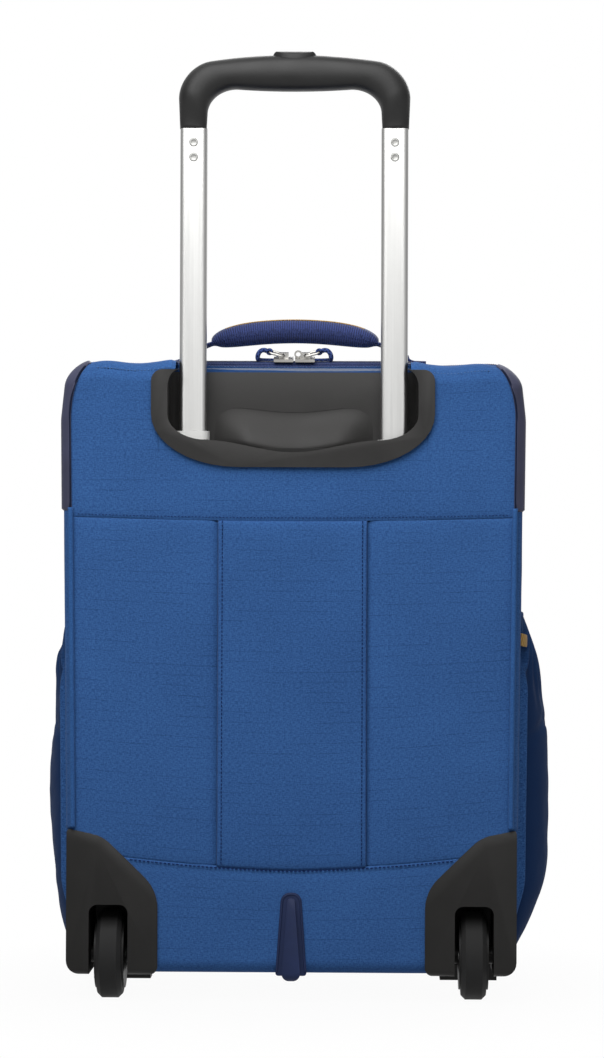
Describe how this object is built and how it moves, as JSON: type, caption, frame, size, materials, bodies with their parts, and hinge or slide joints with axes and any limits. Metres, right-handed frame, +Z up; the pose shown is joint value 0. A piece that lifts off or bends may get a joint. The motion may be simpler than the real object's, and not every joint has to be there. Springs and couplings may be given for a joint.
{
  "type": "softside upright suitcase",
  "caption": "Small softside upright cabin suitcase on wheels, with telescopic pull handle in a moulded cup, padded carry handle, zipped front shell and side pockets",
  "frame": {"origin": "Middle of the bounding box on the floor, under the wheels and the front feet", "axes": "+Z up; -Y the back with the pull handle and the wheels; +X to the right seen from behind"},
  "size_m": [0.3624, 0.2, 0.6687],
  "materials": {
    "fabric_main": "blue slub weave, two tones",
    "fabric_pocket": "plain darker blue weave",
    "fabric_lining": "plain lining",
    "webbing_navy": "ribbed navy webbing",
    "zip_navy": "navy coil zip",
    "cord_navy": "braided navy cord",
    "tape_tan": "tan binding tape",
    "piping_navy": "fabric-covered piping",
    "vinyl_guard": "dusky navy vinyl",
    "plastic_cup": "dark grey-black moulding",
    "plastic_grip": "soft-touch black",
    "plastic_black": "black moulding",
    "plastic_hub": "black hub",
    "plastic_pale": "pale collar",
    "rubber_tyre": "matte black tread",
    "rubber_skid": "navy moulded rubber",
    "board_grey": "stiffening board",
    "tube_bright": "bright satin",
    "steel": "plain steel",
    "nickel": "nickel plated"
  },
  "bodies": {
    "case_back": {"back_shell": "fabric_main", "back_board": "board_grey", "back_yoke": "fabric_main", "back_panel_left": "fabric_main", "back_panel_right": "fabric_main", "back_overlay": "fabric_main", "back_lower_band": "fabric_main", "piping_left": "piping_navy", "piping_right": "piping_navy", "corner_guard_left": "vinyl_guard", "corner_guard_right": "vinyl_guard", "handle_cup": "plastic_cup", "case_screws": "steel", "outer_tube_left": "tube_bright", "outer_tube_right": "tube_bright", "tube_foot": "plastic_black", "lining": "fabric_lining", "wheel_housing_left": "plastic_black", "wheel_housing_right": "plastic_black", "axles": "steel", "back_skid": "rubber_skid", "zip_tape_back": "zip_navy"},
    "middle_stage": {"middle_tube_left": "tube_bright", "middle_tube_right": "tube_bright", "middle_collars": "plastic_pale"},
    "upper_stage": {"upper_tube_left": "tube_bright", "upper_tube_right": "tube_bright", "grip": "plastic_grip", "grip_rivets": "tube_bright", "lock_plug_left": "plastic_black", "lock_plug_right": "plastic_black", "button_spring": "steel"},
    "release": {"release_button": "plastic_grip", "push_bar": "plastic_black", "push_rod_left": "steel", "push_rod_right": "steel"},
    "lock_left": {"lock_pin_left": "steel"},
    "lock_right": {"lock_pin_right": "steel"},
    "wheel_left": {"tyre_left": "rubber_tyre", "hub_left": "plastic_hub"},
    "wheel_right": {"tyre_right": "rubber_tyre", "hub_right": "plastic_hub"},
    "front": {"front_shell": "fabric_main", "zip_tape_front": "zip_navy", "mouth_wire": "steel", "side_pocket_left": "fabric_pocket", "side_pocket_right": "fabric_pocket", "pocket_tape": "tape_tan", "front_pocket": "fabric_main", "pocket_zip": "zip_navy", "front_feet": "plastic_black", "handle_ends": "webbing_navy"},
    "carry": {"carry_handle": "webbing_navy"},
    "slider_left": {"zip_slider_left": "nickel"},
    "slider_right": {"zip_slider_right": "nickel"},
    "pull_left": {"zip_pull_left": "nickel", "pull_cord_left": "cord_navy"},
    "pull_right": {"zip_pull_right": "nickel", "pull_cord_right": "cord_navy"},
    "slider_pocket": {"pocket_slider": "nickel"}
  },
  "joints": [
    {"name": "middle_slide", "type": "slide", "parent": "case_back", "child": "middle_stage", "axis": [0, 0, 1], "range_m": [0, 0.262]},
    {"name": "upper_slide", "type": "slide", "parent": "middle_stage", "child": "upper_stage", "axis": [0, 0, 1], "range_m": [-0.2135, 0.048]},
    {"name": "button_press", "type": "slide", "parent": "upper_stage", "child": "release", "axis": [0, 0, 1], "range_m": [-0.003, 0], "stiffness_N_per_m": 600, "springref_m": 0.003, "deforming": ["button_spring"]},
    {"name": "lock_left_slide", "type": "slide", "parent": "upper_stage", "child": "lock_left", "axis": [1, 0, 0], "range_m": [0, 0.0015]},
    {"name": "lock_right_slide", "type": "slide", "parent": "upper_stage", "child": "lock_right", "axis": [-1, 0, 0], "range_m": [0, 0.0015]},
    {"name": "wheel_left_spin", "type": "hinge", "parent": "case_back", "child": "wheel_left", "pos_m": [-0.128, -0.06897, 0.031], "axis": [1, 0, 0], "continuous": true},
    {"name": "wheel_right_spin", "type": "hinge", "parent": "case_back", "child": "wheel_right", "pos_m": [0.128, -0.06897, 0.031], "axis": [1, 0, 0], "continuous": true},
    {"name": "front_fold", "type": "hinge", "parent": "case_back", "child": "front", "pos_m": [0, -0.05602, 0.02], "axis": [-1, 0, 0], "range_deg": [0, 95]},
    {"name": "carry_tip", "type": "hinge", "parent": "front", "child": "carry", "pos_m": [0, -0.03198, 0.457], "axis": [1, 0, 0], "range_deg": [-20, 20], "stiffness_Nm_per_rad": 0.05},
    {"name": "slider_left_slide", "type": "slide", "parent": "case_back", "child": "slider_left", "axis": [-1, 0, 0], "range_m": [0, 0.12]},
    {"name": "slider_right_slide", "type": "slide", "parent": "case_back", "child": "slider_right", "axis": [1, 0, 0], "range_m": [0, 0.12]},
    {"name": "pull_left_swing", "type": "hinge", "parent": "slider_left", "child": "pull_left", "pos_m": [-0.0076, -0.05602, 0.4554], "axis": [0, 1, 0], "range_deg": [0, 60]},
    {"name": "pull_right_swing", "type": "hinge", "parent": "slider_right", "child": "pull_right", "pos_m": [0.0076, -0.05602, 0.4554], "axis": [0, -1, 0], "range_deg": [0, 60]},
    {"name": "pocket_slide", "type": "slide", "parent": "front", "child": "slider_pocket", "axis": [1, 0, 0], "range_m": [0, 0.17]}
  ],
  "couplings": [
    {"joint": "lock_left_slide", "follows": "button_press", "ratio": -0.5},
    {"joint": "lock_right_slide", "follows": "button_press", "ratio": -0.5}
  ]
}
